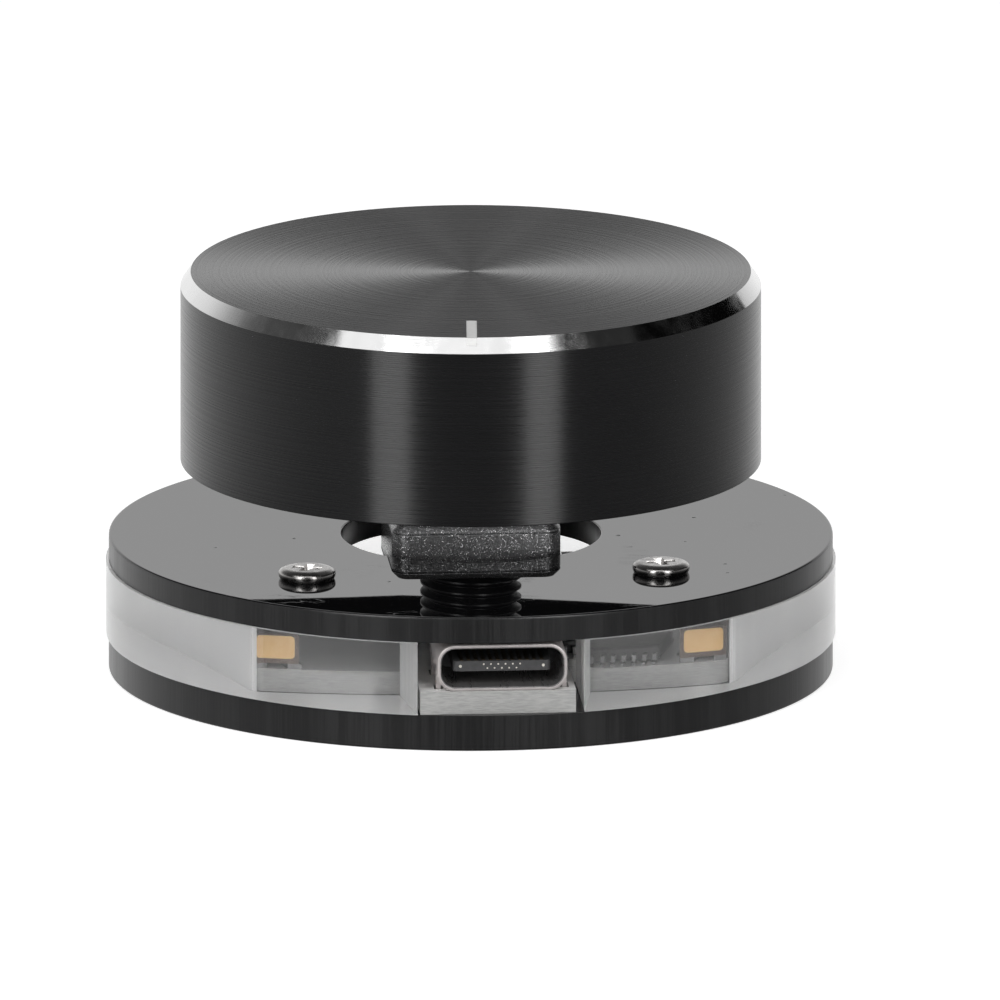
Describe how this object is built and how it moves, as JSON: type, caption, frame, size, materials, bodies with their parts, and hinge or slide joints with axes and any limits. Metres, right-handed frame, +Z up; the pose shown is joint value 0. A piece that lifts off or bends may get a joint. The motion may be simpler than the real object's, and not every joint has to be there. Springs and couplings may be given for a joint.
{
  "type": "usb volume control knob",
  "caption": "Desk volume control: a round aluminium knob on a push-switch rotary encoder, in a three-layer round acrylic base with a USB-C socket.",
  "frame": {"origin": "centre of the base's underside", "axes": "+Z up along the knob's axis, the USB-C socket faces -Y, +X to the right seen from the socket's side"},
  "size_m": [0.05, 0.0498, 0.0278],
  "materials": {
    "black_acrylic": "cast black acrylic, polished faces, laser-cut edges",
    "clear_acrylic": "clear acrylic, frosted laser-cut edges",
    "screw_steel": "plain steel, slightly dull",
    "white_board": "white solder mask",
    "socket_steel": "drawn stainless",
    "black_moulding": "glass-filled nylon",
    "gold_contacts": "gold flash",
    "led_phosphor": "yellow phosphor in silicone",
    "tinned_metal": "tin plate",
    "chip_epoxy": "moulded epoxy",
    "capacitor_ceramic": "fired ceramic",
    "resistor_ceramic": "glazed film",
    "blackened_steel": "black oxide",
    "black_die_cast": "black-coated zinc die casting, fine grain",
    "rotor_moulding": "natural acetal",
    "spring_steel": "spring temper",
    "shaft_metal": "turned",
    "black_anodised": "black anodised aluminium with a bright turned chamfer",
    "pointer_paint": "light grey fill"
  },
  "bodies": {
    "base": {"bottom_plate": "black_acrylic", "middle_ring": "clear_acrylic", "top_plate": "black_acrylic", "case_screws": "screw_steel", "circuit_board": "white_board", "usb_shell": "socket_steel", "usb_tongue": "black_moulding", "usb_contacts": "gold_contacts", "led_phosphors": "led_phosphor", "led_terminals": "tinned_metal", "microcontroller": "chip_epoxy", "microcontroller_leads": "tinned_metal", "capacitors": "capacitor_ceramic", "resistors": "resistor_ceramic", "encoder_base": "black_moulding", "encoder_bracket": "blackened_steel", "encoder_housing": "black_die_cast", "encoder_terminals": "tinned_metal", "wiper_contacts": "gold_contacts", "detent_spring": "spring_steel", "switch_dome": "spring_steel"},
    "rotor": {"encoder_rotor": "rotor_moulding", "code_disc": "gold_contacts"},
    "spindle": {"encoder_shaft": "shaft_metal", "retaining_ring": "spring_steel", "knob": "black_anodised", "knob_set_screw": "blackened_steel", "pointer_inlay": "pointer_paint"},
    "slider": {"switch_slider": "rotor_moulding"}
  },
  "joints": [
    {"name": "knob_turn", "type": "hinge", "parent": "base", "child": "rotor", "pos_m": [0, 0, 0.0113], "axis": [0, 0, 1], "continuous": true, "deforming": ["detent_spring"]},
    {"name": "knob_press", "type": "slide", "parent": "rotor", "child": "spindle", "axis": [0, 0, -1], "range_m": [0, 0.0005], "stiffness_N_per_m": 4000, "springref_m": -0.0005, "deforming": ["switch_dome"]},
    {"name": "slider_press", "type": "slide", "parent": "base", "child": "slider", "axis": [0, 0, -1], "range_m": [0, 0.0005]}
  ],
  "couplings": [
    {"joint": "slider_press", "follows": "knob_press", "ratio": 1}
  ]
}
